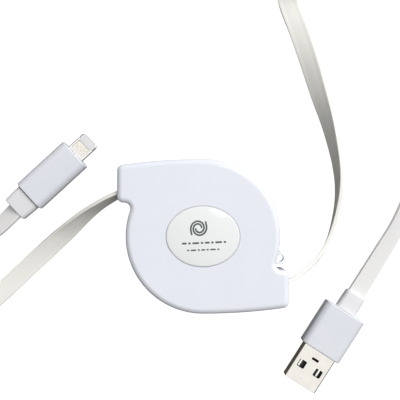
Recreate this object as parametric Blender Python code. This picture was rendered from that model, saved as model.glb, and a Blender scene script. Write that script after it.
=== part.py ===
"""Two-way retractable charging cable: a round reel case with a flat ribbon out of each side.

Frame: metres, +Z up along the reel's axis, origin at the middle of the case's underside.
+X points to the charger ribbon's spout. Both plugs and both ribbons lie on the plane z = 0.
"""
import math

import bmesh
import bpy
import numpy as np
from mathutils import Vector

MM = 0.001
GAP = 0.3 * MM                    # between pieces that touch on the real object

# Case outline, seen from above. The second spout is the first one turned half way round.
CASE_RADIUS = 25.5 * MM
SPOUT_PROUD = 2.8 * MM            # spout's face, beyond the round body
SPOUT_DROP = 2.1 * MM             # spout's far side, inside the round body's highest point
SPOUT_REACH = CASE_RADIUS + SPOUT_PROUD
SPOUT_OUTER = CASE_RADIUS - SPOUT_DROP
SPOUT_INNER = 11.1 * MM           # axis to the near side of that face, at the notch
CORNER_RADIUS = 2.0 * MM
NOTCH_FILLET = 2.0 * MM
EDGE_ROUND = 1.9 * MM             # top and bottom edges, no more than the corner radius
WALL = 1.5 * MM
FLOOR = 1.3 * MM
ROOF = 1.1 * MM
LIP_WALL = 0.55 * MM              # locating lip along the inside of the parting line
LIP_HEIGHT = 0.75 * MM

# Ribbon
RIBBON_WIDTH = 6.4 * MM
RIBBON_THICKNESS = 1.2 * MM
RIBBON_PLAY = 0.2 * MM            # between the ribbon's edges and the spool's flanges

# Spool
SPOOL_PLAY = 1.4 * MM             # between the spool's flanges and the case's wall
FLANGE_RADIUS = CASE_RADIUS - WALL - SPOOL_PLAY
CORE_RADIUS = 9.4 * MM
WEB = 0.6 * MM                    # floor of the drum, above the spring
CAP_THICKNESS = 0.6 * MM
RIM_WALL = 1.4 * MM               # walls each side of the ball's track
PEG_RADIUS = 1.2 * MM
RUNNING_CLEARANCE = 0.08 * MM

# Spring
SPRING_HEIGHT = 2.3 * MM
SPRING_THICKNESS = 0.3 * MM
SPRING_TURNS = 7
SPRING_CHAMBER = 12.6 * MM
POST_RADIUS = 2.4 * MM
HOOK_LENGTH = 0.9 * MM

# Ball stop
BALL_RADIUS = 1.1 * MM
TRACK_PLAY = 0.7 * MM             # between the ball and the track's outer wall
BALL_ORBIT = FLANGE_RADIUS - RIM_WALL - BALL_RADIUS - TRACK_PLAY
BALL_TRAVEL = 3.0 * MM            # towards the axis, into the locking lane
ISLAND_SPREAD = math.radians(17)  # half the angle that a locking island takes up
ISLAND_ANGLES = (math.radians(45), math.radians(225))

# Case screws
SCREW_RADIUS = 0.85 * MM
SCREW_HEAD_RADIUS = 1.7 * MM
SCREW_HEAD_HEIGHT = 1.2 * MM
SCREW_LENGTH = 8.6 * MM
CROSS_ARM = 1.1 * MM
CROSS_WIDTH = 0.5 * MM
CROSS_DEPTH = 0.6 * MM
BOSS_WALL = 0.9 * MM
BOSS_BITE = 0.1 * MM              # how far a boss is sunk into the case's wall

# Badge and lanyard eye
BADGE_LONG = 12.1 * MM
BADGE_SHORT = 9.95 * MM
BADGE_RECESS = 0.6 * MM
BADGE_RIM = 0.45 * MM
BADGE_DOME = 0.55 * MM
EYE_RADIUS = 1.15 * MM
EYE_WALL = 1.0 * MM
EYE_HEIGHT = 3.6 * MM
EYE_OFFSET = 1.7 * MM             # case's round side to the middle of the eye
EYE_ANGLE = math.radians(-16.5)

# Ribbon exits
EXIT_MIDDLE = 14.4 * MM           # middle of each exit slot, across the spout's face
EXIT_WIDTH = 4.4 * MM
PHONE_EXIT_Y = 14.0 * MM
CHARGER_EXIT_Y = -15.5 * MM
EXIT_DEPTH = 1.0 * MM             # spout's face to the end of the wound ribbon, inside the slot

# Winding
WOUND_TURNS = 2
WOUND_PITCH = 2.8 * MM            # two strands side by side, with play

# Phone plug
PHONE_COVER = Vector((21.3, 11.8, 6.4)) * MM
PHONE_COVER_WALL = 1.4 * MM
PHONE_COVER_ROUND = 2.5 * MM
PHONE_BOOT = Vector((6.7, 9.6, 4.6)) * MM
BLADE = Vector((7.3, 6.8, 1.5)) * MM          # the part that stands out of the cover
BLADE_HELD = 4.2 * MM
BLADE_RAIL = 0.72 * MM
BLADE_CORNER = 1.1 * MM
BLADE_NOSE = 2.9 * MM             # tip to the contact window
BLADE_WINDOW = 3.4 * MM
CONTACT_COUNT = 8
CONTACT_WIDTH = 0.42 * MM
CONTACT_LENGTH = 2.4 * MM
CONTACT_THICKNESS = 0.2 * MM
PHONE_BOARD = Vector((9.0, 7.4, 0.8)) * MM
PHONE_CHIP = Vector((3.0, 3.0, 0.7)) * MM

# Charger plug
CHARGER_COVER = Vector((16.2, 14.7, 8.0)) * MM
CHARGER_COVER_WALL = 1.2 * MM
CHARGER_COVER_ROUND = 2.2 * MM
CHARGER_BOOT = Vector((7.1, 7.2, 5.0)) * MM
SHELL = Vector((12.9, 12.0, 4.5)) * MM        # the part that stands out of the cover
SHELL_HELD = 6.0 * MM
SHELL_WALL = 0.32 * MM
SHELL_CORNER = 0.5 * MM
SHELL_WINDOW = Vector((2.4, 2.3)) * MM
SHELL_WINDOW_BACK = 6.35 * MM                 # tip to the window's middle
SHELL_WINDOW_SIDE = 3.15 * MM
SHELL_SLOT = Vector((0.9, 2.6)) * MM
SHELL_SLOT_BACK = 9.8 * MM
TONGUE_THICKNESS = 1.9 * MM
PIN_LENGTH = 7.4 * MM
PIN_WIDTH = 0.8 * MM
PIN_THICKNESS = 0.2 * MM
PIN_PLACES = (-3.5 * MM, -1.0 * MM, 1.0 * MM, 3.5 * MM)

# Where the plugs lie: the middle of the cover's back, and the heading of the tip
PHONE_PLACE = Vector((-59.27, 13.23)) * MM
PHONE_HEADING = math.radians(42.6)
CHARGER_PLACE = Vector((48.41, -25.85)) * MM
CHARGER_HEADING = math.radians(-122.6)

# Routes of the two free ribbons: x, y, z in mm and lean in degrees, chosen by hand.
# Lean 0 stands the ribbon on its edge, 90 lays it flat. They end at the plugs' boots.
PHONE_ROUTE = (
    (-28.0, 14.0, 8.35, 7), (-31.2, 12.4, 7.9, 14), (-35.0, 10.2, 6.9, 19), (-39.6, 7.0, 5.4, 32),
    (-44.6, 2.7, 3.8, 47), (-49.6, -1.6, 2.5, 64), (-60.4, -11.4, 1.1, 84), (-71.5, -21.7, 0.95, 90),
    (-78.8, -28.1, 2.05, 66), (-86.4, -34.0, 3.25, 34), (-98.6, -41.4, 3.4, 8), (-112.8, -45.6, 3.35, 0),
    (-127.8, -43.0, 3.3, 0), (-139.6, -33.4, 3.3, 0), (-146.0, -19.4, 3.3, 0), (-146.2, -3.8, 3.3, 0),
    (-139.8, 9.8, 3.3, 0), (-127.6, 17.2, 3.3, 0), (-113.6, 16.4, 3.3, 0), (-102.6, 10.0, 3.35, 6),
    (-94.0, 2.7, 3.35, 22), (-88.4, -0.8, 3.3, 34), (-82.4, -2.1, 3.2, 46), (-76.0, -1.2, 3.1, 56),
    (-70.0, 2.7, 3.1, 61), (-64.2, 8.2, 3.2, 63),
)
CHARGER_ROUTE = (
    (28.0, -15.5, 8.35, -6), (30.7, -14.4, 8.0, -8), (33.4, -12.7, 7.3, -10), (36.2, -10.5, 6.5, -11),
    (38.9, -7.9, 5.5, -12), (41.4, -4.6, 4.6, -11), (43.4, -0.3, 3.9, -8), (45.0, 5.1, 3.6, -3),
    (46.3, 11.9, 3.5, 2), (46.6, 18.5, 3.5, 8), (46.0, 24.6, 3.5, 15), (44.8, 30.8, 3.45, 22),
    (42.8, 39.1, 3.2, 34), (40.2, 47.4, 2.8, 49), (36.4, 59.9, 2.2, 66), (32.9, 70.4, 1.5, 79),
    (29.8, 78.6, 1.1, 86), (28.2, 85.2, 2.1, 64), (29.0, 92.4, 3.35, 28), (34.6, 99.4, 3.4, 6),
    (44.0, 102.2, 3.35, 0), (54.4, 99.8, 3.3, 0), (63.6, 92.4, 3.3, 0), (70.4, 80.6, 3.3, 0),
    (74.4, 65.6, 3.3, 2), (75.9, 49.6, 3.35, 8), (75.2, 34.0, 3.4, 25), (72.4, 19.0, 3.4, 42),
    (67.2, 4.6, 3.5, 58), (60.3, -7.1, 3.8, 68), (52.4, -19.7, 4.0, 74),
)
ROUTE_STEP = 4.6 * MM             # between the points of a free ribbon

# Levels that follow from the sizes above
SPOOL_BOTTOM = FLOOR + GAP
CHAMBER_TOP = SPOOL_BOTTOM + SPRING_HEIGHT + 0.4 * MM
DRUM_BOTTOM = CHAMBER_TOP + WEB
RIBBON_BOTTOM = DRUM_BOTTOM + RIBBON_PLAY
CAP_BOTTOM = RIBBON_BOTTOM + RIBBON_WIDTH + RIBBON_PLAY
CORE_TOP = CAP_BOTTOM - GAP
ROOF_BOTTOM = CAP_BOTTOM + CAP_THICKNESS + GAP
CASE_HEIGHT = ROOF_BOTTOM + ROOF
PARTING = CASE_HEIGHT / 2
POST_TOP = DRUM_BOTTOM - 0.15 * MM
WIND_START = CORE_RADIUS + RIBBON_THICKNESS / 2 + 0.1 * MM

WHITE = (0.80, 0.82, 0.88)
PALE = (0.86, 0.87, 0.87)
CREAM = (0.82, 0.82, 0.78)
STEEL = (0.72, 0.70, 0.66)
GOLD = (0.83, 0.63, 0.30)
GREEN = (0.03, 0.16, 0.08)
BLACK = (0.02, 0.02, 0.02)


def material(name, colour, roughness, metallic=0.0):
    """A Principled BSDF with one colour, roughness and metallic value."""
    made = bpy.data.materials.new(name)
    made.use_nodes = True
    shader = made.node_tree.nodes["Principled BSDF"]
    shader.inputs["Base Color"].default_value = (*colour, 1.0)
    shader.inputs["Roughness"].default_value = roughness
    shader.inputs["Metallic"].default_value = metallic
    return made


def add_object(name, data, finish=None, parent=None):
    """Link new object data into the scene, under its parent."""
    made = bpy.data.objects.new(name, data)
    bpy.context.scene.collection.objects.link(made)
    if finish is not None:
        data.materials.append(material(name, *finish))
    if parent is not None:
        made.parent = parent
    return made


def add_empty(name, location, turn=0.0):
    """An empty that carries the pieces placed from one point or one axis."""
    empty = add_object(name, None)
    empty.location = location
    empty.rotation_euler.z = turn
    return empty


def as_mesh(name, bm):
    """Turn a bmesh into a smooth-shaded mesh whose faces point outwards."""
    bmesh.ops.recalc_face_normals(bm, faces=bm.faces)
    mesh = bpy.data.meshes.new(name)
    bm.to_mesh(mesh)
    bm.free()
    mesh.shade_smooth()
    mesh.set_sharp_from_angle(angle=math.radians(35))
    return mesh


def loft(name, rings):
    """A solid through rings of equal point count, closed by a face on the first and last."""
    bm = bmesh.new()
    loops = [[bm.verts.new(point) for point in ring] for ring in rings]
    for low, high in zip(loops, loops[1:]):
        for i in range(len(low)):
            j = (i + 1) % len(low)
            bm.faces.new((low[i], low[j], high[j], high[i]))
    bm.faces.new(loops[0])
    bm.faces.new(loops[-1])
    return as_mesh(name, bm)


def turned(name, profile, segments):
    """A solid of revolution about +Z. The profile is closed, or starts and ends on the axis."""
    bm = bmesh.new()
    columns = []
    for radius, height in profile:
        if radius == 0.0:
            columns.append([bm.verts.new((0.0, 0.0, height))])
            continue
        angles = [2 * math.pi * i / segments for i in range(segments)]
        columns.append([bm.verts.new((radius * math.cos(a), radius * math.sin(a), height)) for a in angles])
    pairs = list(zip(columns, columns[1:]))
    if profile[0][0] > 0.0:
        pairs.append((columns[-1], columns[0]))
    for near, far in pairs:
        for i in range(segments):
            j = (i + 1) % segments
            corners = [near[i % len(near)], near[j % len(near)], far[j % len(far)], far[i % len(far)]]
            bm.faces.new(dict.fromkeys(corners))
    return as_mesh(name, bm)


def rod(name, radius, low, high, segments=24):
    """A plain upright cylinder between two heights."""
    return turned(name, [(0.0, low), (radius, low), (radius, high), (0.0, high)], segments)


def box(name, low, high):
    """A box between two corners."""
    bm = bmesh.new()
    bmesh.ops.create_cube(bm, size=1.0)
    size = Vector(high) - Vector(low)
    middle = (Vector(high) + Vector(low)) / 2
    bmesh.ops.scale(bm, vec=size, verts=bm.verts)
    bmesh.ops.translate(bm, vec=middle, verts=bm.verts)
    return as_mesh(name, bm)


def rounded_outline(width, height, radius, steps=3):
    """A rounded rectangle as (across, up) points, anticlockwise."""
    points = []
    for corner in range(4):
        side = 1 if corner in (0, 3) else -1
        top = 1 if corner in (0, 1) else -1
        for i in range(steps + 1):
            angle = math.pi / 2 * (corner + i / steps)
            across = side * (width / 2 - radius) + radius * math.cos(angle)
            up = top * (height / 2 - radius) + radius * math.sin(angle)
            points.append((across, up))
    return points


def section(at, outline):
    """An outline stood across the X axis, at one distance along it."""
    return [(at, across, up) for across, up in outline]


def shape_tool(target, name, mesh, operation, place=None):
    """Cut a target with a solid, or add the solid to it, through a Boolean modifier."""
    tool = add_object(name, mesh)
    tool.hide_render = True
    tool.display_type = "WIRE"
    tool.parent = target.parent
    if place is not None:
        tool.location = place
    change = target.modifiers.new(name, "BOOLEAN")
    change.object = tool
    change.operation = operation
    change.solver = "EXACT"


def cut(target, name, mesh, place=None):
    shape_tool(target, name, mesh, "DIFFERENCE", place)


def add(target, name, mesh, place=None):
    shape_tool(target, name, mesh, "UNION", place)


def arc(centre, radius, start, end, steps):
    """Points and outward sides along an arc. A negative radius marks a hollow arc."""
    points = []
    for i in range(steps):
        angle = start + (end - start) * i / steps
        side = Vector((math.cos(angle), math.sin(angle)))
        points.append((Vector(centre) + abs(radius) * side, side if radius > 0 else -side))
    return points


def case_outline():
    """The case seen from above, anticlockwise, as (point, outward side) pairs.

    From the lowest point of the round body a long arc runs to the spout's outer corner.
    The spout's face goes up to its inner corner, a hollow fillet leads back to the body,
    and the body's arc goes on to its highest point. The other half is this one turned.
    """
    drop = CASE_RADIUS - SPOUT_OUTER
    sweep = (SPOUT_REACH ** 2 + drop ** 2) / (2 * drop)
    sweep_y = sweep - CASE_RADIUS
    corner_x = SPOUT_REACH - CORNER_RADIUS
    corner_y = sweep_y - math.sqrt((sweep - CORNER_RADIUS) ** 2 - corner_x ** 2)
    meet = math.atan2(corner_y - sweep_y, corner_x)
    fillet_y = NOTCH_FILLET - SPOUT_INNER
    fillet_x = math.sqrt((CASE_RADIUS + NOTCH_FILLET) ** 2 - fillet_y ** 2)
    body = math.atan2(fillet_y, fillet_x)
    inner = (corner_x, -SPOUT_INNER - CORNER_RADIUS)
    half = arc((0.0, sweep_y), sweep, -math.pi / 2, meet, 6)
    half += arc((corner_x, corner_y), CORNER_RADIUS, meet, 0.0, 5)
    half.append((Vector((SPOUT_REACH, corner_y)), Vector((1.0, 0.0))))
    half += arc(inner, CORNER_RADIUS, 0.0, math.pi / 2, 5)
    half.append((Vector((corner_x, -SPOUT_INNER)), Vector((0.0, 1.0))))
    half += arc((fillet_x, fillet_y), -NOTCH_FILLET, 3 * math.pi / 2, body + math.pi, 5)
    half += arc((0.0, 0.0), CASE_RADIUS, body, math.pi / 2, 18)
    return half + [(-point, -side) for point, side in half]


def case_ring(inset, height):
    """The case's outline moved inwards, at one height."""
    return [(*(point - side * inset), height) for point, side in case_outline()]


def edge_rings(level, direction, steps=4):
    """Rings of the rounded edge, from the flat face at one level out to the upright wall."""
    rings = []
    for i in range(steps + 1):
        angle = math.pi / 2 * i / steps
        inset = EDGE_ROUND * (1 - math.sin(angle))
        rings.append(case_ring(inset, level + direction * EDGE_ROUND * (1 - math.cos(angle))))
    return rings


def screw_places():
    """The two case screws stand in the outer corners of the spouts."""
    inset = WALL + SCREW_HEAD_RADIUS + GAP + BOSS_WALL - BOSS_BITE
    x = SPOUT_REACH - inset
    y = SPOUT_OUTER - inset + 0.4 * MM
    return [Vector((x, -y, 0.0)), Vector((-x, y, 0.0))]


def add_exit_slots(half):
    """Slots in both spout faces, a little taller and wider than the ribbon."""
    low = RIBBON_BOTTOM - RIBBON_PLAY
    high = RIBBON_BOTTOM + RIBBON_WIDTH + RIBBON_PLAY
    for side, name in ((1, "charger"), (-1, "phone")):
        near = side * (SPOUT_REACH - 2 * WALL)
        far = side * (SPOUT_REACH + WALL)
        middle = -side * EXIT_MIDDLE
        corner = (min(near, far), middle - EXIT_WIDTH / 2, low)
        opposite = (max(near, far), middle + EXIT_WIDTH / 2, high)
        cut(half, f"{half.name}_{name}_exit", box("exit", corner, opposite))


def make_lower_case():
    """Tray with the spring post, screw bosses, the ball's radial groove and the lanyard eye."""
    rim = PARTING - GAP / 2
    lip_inset = WALL - LIP_WALL
    rings = edge_rings(0.0, 1)
    rings.append(case_ring(0.0, rim))
    rings.append(case_ring(lip_inset, rim))
    rings.append(case_ring(lip_inset, rim + LIP_HEIGHT))
    rings.append(case_ring(WALL, rim + LIP_HEIGHT))
    rings.append(case_ring(WALL, FLOOR))
    lower = add_object("lower_case", loft("lower_case", rings), (WHITE, 0.18))
    add(lower, "post", rod("post", POST_RADIUS, FLOOR / 2, POST_TOP, 32))
    hook_room = SPRING_THICKNESS + 2 * GAP
    hook_low = (POST_RADIUS - HOOK_LENGTH - GAP, -hook_room / 2, SPOOL_BOTTOM)
    hook_high = (2 * POST_RADIUS, hook_room / 2, POST_TOP + MM)
    cut(lower, "hook_slot", box("hook_slot", hook_low, hook_high))
    boss = SCREW_HEAD_RADIUS + GAP + BOSS_WALL
    for number, place in enumerate(screw_places(), 1):
        add(lower, f"boss_{number}", rod("boss", boss, FLOOR / 2, rim - GAP, 24), place)
        seat = rod("seat", SCREW_HEAD_RADIUS + GAP, -MM, SCREW_HEAD_HEIGHT + 2 * GAP)
        cut(lower, f"head_seat_{number}", seat, place)
        cut(lower, f"screw_hole_{number}", rod("hole", SCREW_RADIUS + GAP, -MM, PARTING + MM), place)
    groove = BALL_RADIUS + GAP
    groove_low = (-BALL_ORBIT - groove, -groove, FLOOR - 0.4 * MM)
    groove_high = (-BALL_ORBIT + BALL_TRAVEL + groove, groove, FLOOR + MM)
    cut(lower, "ball_groove", box("ball_groove", groove_low, groove_high))
    eye = (CASE_RADIUS + EYE_OFFSET) * Vector((math.cos(EYE_ANGLE), math.sin(EYE_ANGLE), 0.0))
    eye_low = PARTING - GAP / 2 - EYE_HEIGHT
    add(lower, "eye", rod("eye", EYE_RADIUS + EYE_WALL, eye_low, eye_low + EYE_HEIGHT - GAP, 24), eye)
    cut(lower, "eye_hole", rod("eye_hole", EYE_RADIUS, 0.0, PARTING + 2 * MM, 22), eye)
    add_exit_slots(lower)


def make_upper_case():
    """Lid with the badge recess, the spool's upper pivot and the pillars the screws bite into."""
    rim = PARTING + GAP / 2
    rebate = WALL - LIP_WALL - GAP
    rings = edge_rings(CASE_HEIGHT, -1)
    rings.append(case_ring(0.0, rim))
    rings.append(case_ring(rebate, rim))
    rings.append(case_ring(rebate, rim + LIP_HEIGHT + GAP))
    rings.append(case_ring(WALL, rim + LIP_HEIGHT + GAP))
    rings.append(case_ring(WALL, ROOF_BOTTOM))
    upper = add_object("upper_case", loft("upper_case", rings), (WHITE, 0.18))
    pivot_low = CAP_BOTTOM + 0.1 * MM
    add(upper, "pivot", rod("pivot", POST_RADIUS, pivot_low, ROOF_BOTTOM + ROOF / 4, 32))
    pillar = SCREW_RADIUS + GAP + BOSS_WALL
    for number, place in enumerate(screw_places(), 1):
        add(upper, f"pillar_{number}", rod("pillar", pillar, rim + GAP, ROOF_BOTTOM + ROOF / 2), place)
        pilot = rod("pilot", SCREW_RADIUS + GAP, PARTING - MM, ROOF_BOTTOM - 2 * GAP)
        cut(upper, f"pilot_{number}", pilot, place)
    recess = ellipse_rings(((1.0, CASE_HEIGHT - BADGE_RECESS), (1.0, CASE_HEIGHT + MM)), GAP)
    cut(upper, "badge_recess", loft("badge_recess", recess))
    add_exit_slots(upper)


def ellipse_rings(levels, margin):
    """Rings of the badge's oval, each scaled towards the middle, with a margin all round."""
    rings = []
    for share, height in levels:
        points = []
        for i in range(40):
            angle = 2 * math.pi * i / 40
            x = (BADGE_LONG + margin) * share * math.cos(angle)
            y = (BADGE_SHORT + margin) * share * math.sin(angle)
            points.append((x, y, height))
        rings.append(points)
    return rings


def make_badge():
    """Oval plate with a shallow dome, set into the lid."""
    low = CASE_HEIGHT - BADGE_RECESS + GAP
    rim = low + BADGE_RIM
    levels = [(1.0, low), (1.0, rim)]
    for share in (0.97, 0.88, 0.7, 0.45, 0.2):
        levels.append((share, rim + BADGE_DOME * (1 - share ** 2)))
    add_object("badge", loft("badge", ellipse_rings(levels, 0.0)), (PALE, 0.1))


def make_case_screws():
    """Two self-tapping screws, driven from below, with a cross in the head."""
    low = 2 * GAP
    shank = low + SCREW_HEAD_HEIGHT
    profile = [(0.0, low), (SCREW_HEAD_RADIUS, low), (SCREW_HEAD_RADIUS, shank), (SCREW_RADIUS, shank)]
    profile += [(SCREW_RADIUS, low + SCREW_LENGTH), (0.0, low + SCREW_LENGTH + 0.5 * MM)]
    for number, place in enumerate(screw_places(), 1):
        screw = add_object(f"case_screw_{number}", turned("screw", profile, 20), (STEEL, 0.3, 1.0))
        screw.location = place
        cut(screw, f"cross_{number}", loft("cross", [cross_ring(0.0), cross_ring(low + CROSS_DEPTH)]), place)


def cross_ring(height):
    """Outline of the cross in a screw's head."""
    half = CROSS_WIDTH / 2
    quarter = [(CROSS_ARM, -half), (CROSS_ARM, half), (half, half)]
    points = []
    for turn in range(4):
        c, s = round(math.cos(turn * math.pi / 2)), round(math.sin(turn * math.pi / 2))
        points += [(c * x - s * y, s * x + c * y, height) for x, y in quarter]
    return points


def spiral_point(angle, radius):
    return Vector((radius * math.cos(angle), radius * math.sin(angle)))


def strand_path():
    """Half of the wound ribbon, from the reel's axis out along the coil.

    The first piece is a half circle of half the winding's first radius, so the two strands
    join in an S through the core. The strand then winds outwards, anticlockwise.
    """
    radius = WIND_START / 2
    centre = Vector((0.0, radius))
    path = []
    for i in range(8):
        angle = -math.pi / 2 + math.pi * i / 8
        path.append(centre + radius * Vector((math.cos(angle), math.sin(angle))))
    steps = 26 * WOUND_TURNS
    for i in range(steps + 1):
        turn = i / 26
        path.append(spiral_point(math.pi / 2 + 2 * math.pi * turn, WIND_START + WOUND_PITCH * turn))
    return path


def strip(name, path, thickness, low, high):
    """A flat strip on edge that follows a path in the XY plane."""
    rings = []
    for i, point in enumerate(path):
        before = path[max(i - 1, 0)]
        after = path[min(i + 1, len(path) - 1)]
        along = (after - before).normalized()
        side = Vector((-along.y, along.x)) * thickness / 2
        left = point + side
        right = point - side
        rings.append([(*left, low), (*right, low), (*right, high), (*left, high)])
    return loft(name, rings)


def make_ribbon_in_case(name, path, parent=None):
    """A stretch of ribbon on edge, at the height of the drum."""
    mesh = strip(name, path, RIBBON_THICKNESS, RIBBON_BOTTOM, RIBBON_BOTTOM + RIBBON_WIDTH)
    add_object(name, mesh, (CREAM, 0.5), parent)


def make_wound_cable(axis):
    """Two strands on the drum, joined through the core, and their leads to the exit slots."""
    strand = strand_path()
    make_ribbon_in_case("wound_cable", strand[::-1] + [-point for point in strand[1:]], axis)
    end = SPOUT_REACH - EXIT_DEPTH
    for name, side, exit_y in (("phone_lead", -1, PHONE_EXIT_Y), ("charger_lead", 1, CHARGER_EXIT_Y)):
        start = Vector((side * GAP, -side * strand[-1].y))
        middle = Vector((side * end / 2, (exit_y + start.y) / 2))
        make_ribbon_in_case(name, [start, middle, Vector((side * end, exit_y))])


def make_island(angle):
    """A locking island in the ball's track: a block with a pocket in its outer side."""
    inner = SPRING_CHAMBER + RIM_WALL
    outer = BALL_ORBIT - BALL_RADIUS - GAP
    pocket = BALL_RADIUS + GAP
    points = []
    for share in (-1.0, -0.6, -0.2, 0.2, 0.6, 1.0):
        points.append(spiral_point(angle + share * ISLAND_SPREAD, inner - GAP))
    middle = spiral_point(angle, outer)
    side = spiral_point(angle + math.pi / 2, 1.0)
    inward = -spiral_point(angle, 1.0)
    points.append(spiral_point(angle + ISLAND_SPREAD, outer - MM))
    for i in range(7):
        turn = math.pi * i / 6
        points.append(middle + pocket * (side * math.cos(turn) + inward * math.sin(turn)))
    points.append(spiral_point(angle - ISLAND_SPREAD, outer - MM))
    low = SPOOL_BOTTOM + 0.2 * MM
    high = CHAMBER_TOP
    return loft("island", [[(*point, low) for point in points], [(*point, high) for point in points]])


def make_spool(axis):
    """Spool: spring chamber and ball track below, drum with its S-shaped slot above."""
    bore = POST_RADIUS + RUNNING_CLEARANCE
    track_in = SPRING_CHAMBER + RIM_WALL
    track_out = FLANGE_RADIUS - RIM_WALL
    track_top = SPOOL_BOTTOM + 2 * BALL_RADIUS
    profile = [(0.0, DRUM_BOTTOM + 0.1 * MM), (bore, DRUM_BOTTOM + 0.1 * MM), (bore, CHAMBER_TOP)]
    profile += [(SPRING_CHAMBER, CHAMBER_TOP), (SPRING_CHAMBER, SPOOL_BOTTOM), (track_in, SPOOL_BOTTOM)]
    profile += [(track_in, track_top), (track_out, track_top), (track_out, SPOOL_BOTTOM)]
    profile += [(FLANGE_RADIUS, SPOOL_BOTTOM), (FLANGE_RADIUS, DRUM_BOTTOM), (CORE_RADIUS, DRUM_BOTTOM)]
    profile += [(CORE_RADIUS, CORE_TOP), (0.0, CORE_TOP)]
    spool = add_object("spool", turned("spool", profile, 56), (PALE, 0.4), axis)
    strand = strand_path()[:11]
    slot_path = [-point for point in strand[:0:-1]] + strand
    slot = strip("s_slot", slot_path, RIBBON_THICKNESS + 2 * GAP, DRUM_BOTTOM, CORE_TOP + MM)
    cut(spool, "s_slot", slot)
    for number, side in enumerate((1, -1), 1):
        peg = rod("peg", PEG_RADIUS, CORE_TOP - MM, CAP_BOTTOM + CAP_THICKNESS - GAP)
        add(spool, f"peg_{number}", peg, (0.0, side * WIND_START / 2, 0.0))
    for number, angle in enumerate(ISLAND_ANGLES, 1):
        add(spool, f"island_{number}", make_island(angle))
    hook_room = SPRING_THICKNESS + 2 * GAP
    hook_low = (SPRING_CHAMBER - GAP, -hook_room / 2, SPOOL_BOTTOM - MM)
    hook_high = (SPRING_CHAMBER + HOOK_LENGTH, hook_room / 2, CHAMBER_TOP - GAP)
    cut(spool, "spring_anchor", box("spring_anchor", hook_low, hook_high))


def make_spool_cap(axis):
    """Upper flange, pressed over the core's two pegs."""
    bore = POST_RADIUS + RUNNING_CLEARANCE
    high = CAP_BOTTOM + CAP_THICKNESS
    profile = [(bore, CAP_BOTTOM), (FLANGE_RADIUS, CAP_BOTTOM), (FLANGE_RADIUS, high), (bore, high)]
    cap = add_object("spool_cap", turned("spool_cap", profile, 56), (PALE, 0.4), axis)
    for number, side in enumerate((1, -1), 1):
        hole = rod("peg_hole", PEG_RADIUS + GAP, CAP_BOTTOM - MM, high + MM, 22)
        cut(cap, f"peg_hole_{number}", hole, (0.0, side * WIND_START / 2, 0.0))


def make_main_spring():
    """Flat spiral spring, hooked into the post at its inner end and the spool at its outer."""
    inner = POST_RADIUS + GAP + SPRING_THICKNESS
    outer = SPRING_CHAMBER - GAP - SPRING_THICKNESS
    path = [Vector((POST_RADIUS - HOOK_LENGTH + GAP, 0.0)), Vector((POST_RADIUS, 0.0))]
    steps = 24 * SPRING_TURNS
    for i in range(1, steps):
        share = i / steps
        path.append(spiral_point(2 * math.pi * SPRING_TURNS * share, inner + (outer - inner) * share))
    path.append(Vector((SPRING_CHAMBER, 0.0)))
    path.append(Vector((SPRING_CHAMBER + HOOK_LENGTH - GAP, 0.0)))
    low = SPOOL_BOTTOM + 0.1 * MM
    spring = strip("main_spring", path, SPRING_THICKNESS, low, low + SPRING_HEIGHT)
    add_object("main_spring", spring, (STEEL, 0.35, 1.0))


def make_stop_ball():
    """Steel ball in the radial groove, resting in the track's free outer lane."""
    bm = bmesh.new()
    bmesh.ops.create_icosphere(bm, subdivisions=2, radius=BALL_RADIUS)
    ball = add_object("stop_ball", as_mesh("stop_ball", bm), (STEEL, 0.15, 1.0))
    ball.location = (-BALL_ORBIT, 0.0, FLOOR - 0.4 * MM + GAP + BALL_RADIUS)


def smooth_route(route):
    """Even points along a Catmull-Rom curve through a route, and the lean at each."""
    rows = np.array(route) * (MM, MM, MM, 1.0)
    padded = np.vstack([2 * rows[0] - rows[1], rows, 2 * rows[-1] - rows[-2]])
    fine = []
    for a, b, c, d in zip(padded, padded[1:], padded[2:], padded[3:]):
        for t in np.arange(16) / 16:
            bend = (2 * a - 5 * b + 4 * c - d) * t ** 2 + (3 * b - a - 3 * c + d) * t ** 3
            fine.append((2 * b + (c - a) * t + bend) / 2)
    fine = np.array(fine + [rows[-1]])
    steps = np.linalg.norm(np.diff(fine[:, :3], axis=0), axis=1)
    along = np.concatenate([[0.0], np.cumsum(steps)])
    count = int(round(along[-1] / ROUTE_STEP)) + 1
    places = np.linspace(0.0, along[-1], count)
    return np.column_stack([np.interp(places, along, fine[:, k]) for k in range(4)])


def make_free_ribbon(name, route):
    """A free ribbon: a flat bevelled curve, leaning from its edge to its flat."""
    rows = smooth_route(route)
    curve = bpy.data.curves.new(name, "CURVE")
    curve.dimensions = "3D"
    curve.twist_mode = "Z_UP"
    curve.bevel_depth = RIBBON_THICKNESS / 2
    curve.bevel_resolution = 2
    curve.extrude = (RIBBON_WIDTH - RIBBON_THICKNESS) / 2
    curve.render_resolution_u = 0
    curve.use_fill_caps = True
    spline = curve.splines.new("POLY")
    spline.points.add(len(rows) - 1)
    spline.points.foreach_set("co", np.column_stack([rows[:, :3], np.ones(len(rows))]).ravel())
    spline.points.foreach_set("tilt", np.radians(rows[:, 3]))
    add_object(name, curve, (CREAM, 0.5))


def plug_frame(name, place, heading, height):
    """An empty at the middle of a cover's back, its X axis towards the plug's tip."""
    return add_empty(name, (place.x, place.y, height), heading)


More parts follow.
